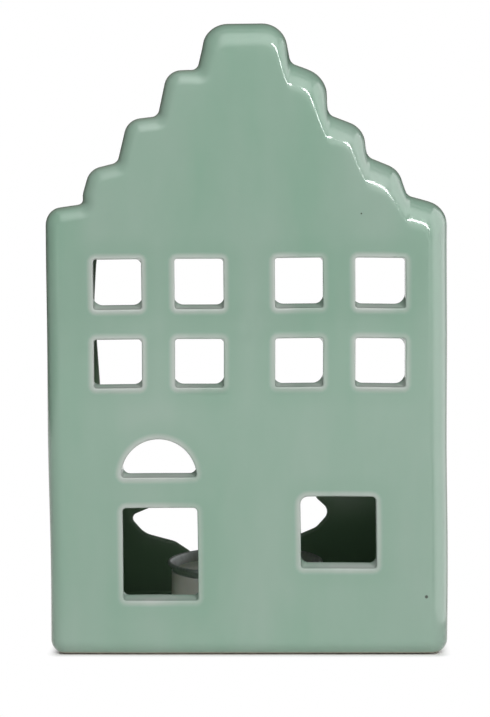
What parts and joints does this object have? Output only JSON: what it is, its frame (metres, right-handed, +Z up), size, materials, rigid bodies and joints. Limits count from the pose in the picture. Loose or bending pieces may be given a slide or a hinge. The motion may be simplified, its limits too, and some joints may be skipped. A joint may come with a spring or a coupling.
{
  "type": "tealight house",
  "caption": "Hollow glazed ceramic town house with a stepped gable and pierced windows; a tealight stands inside and comes out through the back.",
  "frame": {"origin": "on the table under the middle of the house", "axes": "+Z up, the front with the door faces -Y, the door is on the -X side"},
  "size_m": [0.0954, 0.06, 0.15],
  "materials": {
    "glazed_stoneware": "glossy celadon green glaze",
    "foil": "bright pressed foil",
    "wax": "smooth white paraffin wax",
    "cotton_wick": "waxed braided cotton",
    "tinned_steel": "tinned sheet"
  },
  "bodies": {
    "house": {"facade": "glazed_stoneware", "back_wall": "glazed_stoneware", "floor_slab": "glazed_stoneware", "left_side_wall": "glazed_stoneware", "right_side_wall": "glazed_stoneware", "left_step_strip": "glazed_stoneware", "right_step_strip": "glazed_stoneware", "crest_slab": "glazed_stoneware"},
    "tealight": {"tealight_cup": "foil", "tealight_wax": "wax", "wick": "cotton_wick", "wick_foot": "tinned_steel"}
  },
  "joints": [
    {"name": "tealight_lift", "type": "slide", "parent": "house", "child": "tealight", "axis": [0, 0.5299, 0.848], "range_m": [0, 0.1]}
  ]
}
